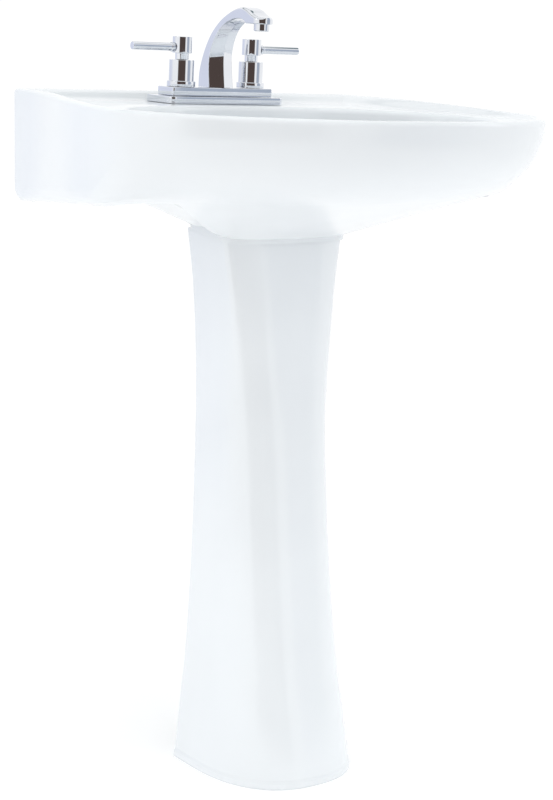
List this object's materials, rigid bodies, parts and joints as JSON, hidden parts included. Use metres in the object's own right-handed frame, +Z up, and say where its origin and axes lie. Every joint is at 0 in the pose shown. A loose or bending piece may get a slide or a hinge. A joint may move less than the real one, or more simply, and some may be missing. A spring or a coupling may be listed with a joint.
{
  "type": "pedestal sink",
  "caption": "China pedestal sink with an oval bowl, a centreset faucet with lever handles and an arched spout, and a pop-up drain.",
  "frame": {"origin": "on the floor, below the centre of the overall box", "axes": "+X to the user's right when facing the wall, +Y towards the wall, +Z up"},
  "size_m": [0.58, 0.462, 0.909],
  "materials": {
    "china": "glossy glaze",
    "chrome": "polished",
    "brass": "machined",
    "steel": "plain",
    "rubber": "matte",
    "white_plastic": "moulded"
  },
  "bodies": {
    "fixture": {"basin": "china", "pedestal": "china", "deck_gasket": "rubber", "faucet_base_plate": "chrome", "faucet_body": "chrome", "spout": "chrome", "aerator_housing": "chrome", "aerator_insert": "white_plastic", "hot_valve_bonnet": "chrome", "hot_cartridge": "brass", "hot_inlet_shank": "brass", "hot_shank_washer": "rubber", "hot_shank_nut": "white_plastic", "cold_valve_bonnet": "chrome", "cold_cartridge": "brass", "cold_inlet_shank": "brass", "cold_shank_washer": "rubber", "cold_shank_nut": "white_plastic", "drain_flange": "chrome", "drain_body": "brass", "drain_gasket": "rubber", "drain_washer": "white_plastic", "drain_nut": "brass", "tailpiece": "chrome", "stopper_guide": "brass", "stopper_spring": "steel"},
    "hot_handle": {"hot_stem": "brass", "hot_handle_hub": "chrome", "hot_lever": "chrome", "hot_set_screw": "steel"},
    "cold_handle": {"cold_stem": "brass", "cold_handle_hub": "chrome", "cold_lever": "chrome", "cold_set_screw": "steel"},
    "stopper": {"drain_stopper": "chrome", "stopper_seal": "rubber"}
  },
  "joints": [
    {"name": "hot_handle_turn", "type": "hinge", "parent": "fixture", "child": "hot_handle", "pos_m": [-0.0508, 0.17132, 0.8617], "axis": [0, -0.0408, 0.9992], "range_deg": [0, 90]},
    {"name": "cold_handle_turn", "type": "hinge", "parent": "fixture", "child": "cold_handle", "pos_m": [0.0508, 0.17132, 0.8617], "axis": [0, -0.0408, 0.9992], "range_deg": [-90, 0]},
    {"name": "stopper_lift", "type": "slide", "parent": "fixture", "child": "stopper", "axis": [0, 0, 1], "range_m": [0, 0.009]}
  ]
}
